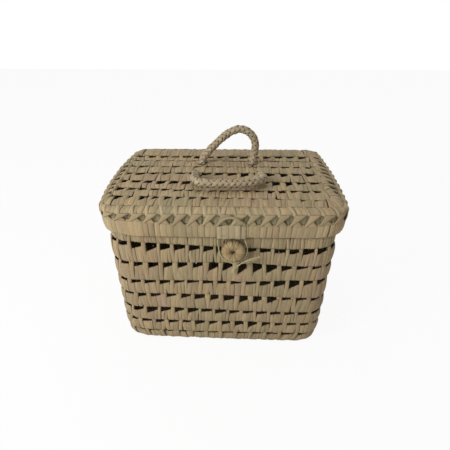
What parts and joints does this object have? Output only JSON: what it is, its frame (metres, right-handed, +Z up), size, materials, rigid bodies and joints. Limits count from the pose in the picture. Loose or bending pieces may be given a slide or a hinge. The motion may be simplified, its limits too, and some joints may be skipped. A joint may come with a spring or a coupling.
{
  "type": "woven lidded box",
  "caption": "Rectangular openwork palm-leaf box with an overhanging hinged lid, plaited handles and a button-and-loop closure.",
  "frame": {"origin": "middle of the flat underside, where the box rests", "axes": "+X to the right along the width, -Y to the front with the button, +Z up"},
  "size_m": [0.3145, 0.2541, 0.2862],
  "materials": {
    "body_leaf": "dry palm leaf, woven",
    "lid_leaf": "dry palm leaf, woven",
    "green_leaf": "dry palm leaf, greenish",
    "braid": "plaited palm leaf",
    "straw": "wound raffia",
    "cord": "twisted raffia cord"
  },
  "bodies": {
    "box": {"base_row_1": "body_leaf", "base_row_2": "body_leaf", "base_row_3": "body_leaf", "base_row_4": "body_leaf", "base_row_5": "body_leaf", "base_row_6": "body_leaf", "base_row_7": "body_leaf", "button": "straw", "button_knot": "cord", "button_shank": "cord", "hinge_tie_left": "cord", "hinge_tie_middle": "cord", "hinge_tie_right": "cord", "rim_row_1": "body_leaf", "rim_row_2": "body_leaf", "wall_row_1": "body_leaf", "wall_row_2": "body_leaf", "wall_row_3": "body_leaf", "wall_row_4": "body_leaf", "wall_row_5": "body_leaf", "wall_row_6": "body_leaf", "wall_row_7": "body_leaf", "wall_shoulder_row": "body_leaf"},
    "lid": {"closure_tab": "green_leaf", "handle_back_knot_left": "braid", "handle_back_knot_right": "braid", "handle_front_knot_left": "braid", "handle_front_knot_right": "braid", "lid_border": "lid_leaf", "lid_row_1": "lid_leaf", "lid_row_2": "lid_leaf", "lid_row_3": "lid_leaf", "lid_row_4": "lid_leaf", "lid_row_5": "lid_leaf", "lid_row_6": "lid_leaf", "skirt_band": "lid_leaf", "skirt_lacing": "lid_leaf"},
    "handle_back": {"handle_back": "braid"},
    "handle_front": {"handle_front": "braid"},
    "closure_loop": {"closure_loop": "cord", "loop_fray": "straw", "loop_knot": "cord", "loop_tail": "cord"}
  },
  "joints": [
    {"name": "lid_open", "type": "hinge", "parent": "box", "child": "lid", "pos_m": [0, 0.118, 0.1869], "axis": [-1, 0, 0], "range_deg": [0, 110], "deforming": ["closure_loop", "loop_fray", "loop_knot", "loop_tail"]},
    {"name": "handle_back_swing", "type": "hinge", "parent": "lid", "child": "handle_back", "pos_m": [0.0062, 0.04, 0.2333], "axis": [1, 0, 0], "range_deg": [-75, 28]},
    {"name": "handle_front_swing", "type": "hinge", "parent": "lid", "child": "handle_front", "pos_m": [0.0085, -0.022, 0.2333], "axis": [1, 0, 0], "range_deg": [-112, 0]},
    {"name": "loop_swing", "type": "hinge", "parent": "lid", "child": "closure_loop", "pos_m": [0.0144, -0.119, 0.1857], "axis": [-1, 0, 0], "range_deg": [0, 120]}
  ]
}
